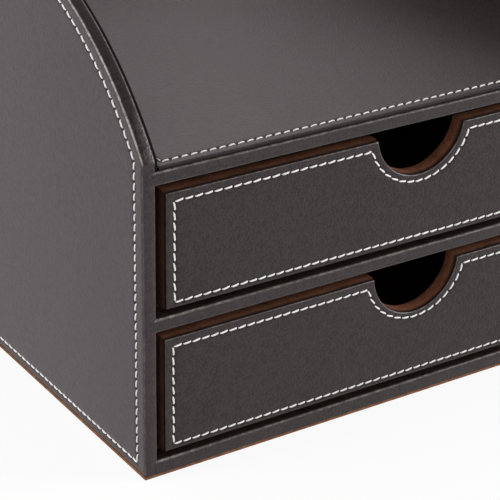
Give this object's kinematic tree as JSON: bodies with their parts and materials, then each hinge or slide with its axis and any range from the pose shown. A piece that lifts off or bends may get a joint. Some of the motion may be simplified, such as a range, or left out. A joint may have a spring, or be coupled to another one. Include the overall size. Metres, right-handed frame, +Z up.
{
  "type": "document sorter",
  "caption": "Leather-covered desktop document sorter: open tray between curved sides, with stitched pull-out paper drawers below, each with a round finger notch.",
  "frame": {"origin": "centre of the outline on the underside, on the desk", "axes": "+Z up, -Y towards the user and the drawers' fronts, +X to the user's right"},
  "size_m": [0.255, 0.335, 0.1961],
  "materials": {
    "leather": "fine-grained dark espresso leather, low sheen, contrast stitched",
    "suede": "short-napped rust-brown suede",
    "base_felt": "matted brown felt",
    "fibreboard": "raw fibreboard",
    "brad_steel": "drawn steel wire",
    "thread": "thick cream sewing thread"
  },
  "bodies": {
    "case": {"back_board": "fibreboard", "back_cover": "leather", "back_lining": "leather", "base_board": "fibreboard", "base_felt": "base_felt", "base_rail_leather": "leather", "case_brads": "brad_steel", "divider_board": "fibreboard", "divider_rail_leather": "leather", "left_side_board": "fibreboard", "left_side_cover": "leather", "left_side_lining": "leather", "left_tray_lining": "leather", "lower_bay_lining": "suede", "right_side_board": "fibreboard", "right_side_cover": "leather", "right_side_lining": "leather", "right_tray_lining": "leather", "shelf_board": "fibreboard", "shelf_leather": "leather", "shelf_pad": "leather", "upper_bay_lining": "suede"},
    "lower_drawer": {"lower_drawer_back_wall": "fibreboard", "lower_drawer_brads": "brad_steel", "lower_drawer_facing": "leather", "lower_drawer_floor": "fibreboard", "lower_drawer_front_board": "fibreboard", "lower_drawer_front_suede": "suede", "lower_drawer_left_wall": "fibreboard", "lower_drawer_lining": "suede", "lower_drawer_right_wall": "fibreboard", "lower_drawer_wrap": "suede"},
    "upper_drawer": {"upper_drawer_back_wall": "fibreboard", "upper_drawer_brads": "brad_steel", "upper_drawer_facing": "leather", "upper_drawer_floor": "fibreboard", "upper_drawer_front_board": "fibreboard", "upper_drawer_front_suede": "suede", "upper_drawer_left_wall": "fibreboard", "upper_drawer_lining": "suede", "upper_drawer_right_wall": "fibreboard", "upper_drawer_wrap": "suede"}
  },
  "joints": [
    {"name": "lower_drawer_slide", "type": "slide", "parent": "case", "child": "lower_drawer", "axis": [0, -1, 0], "range_m": [0, 0.25]},
    {"name": "upper_drawer_slide", "type": "slide", "parent": "case", "child": "upper_drawer", "axis": [0, -1, 0], "range_m": [0, 0.25]}
  ]
}
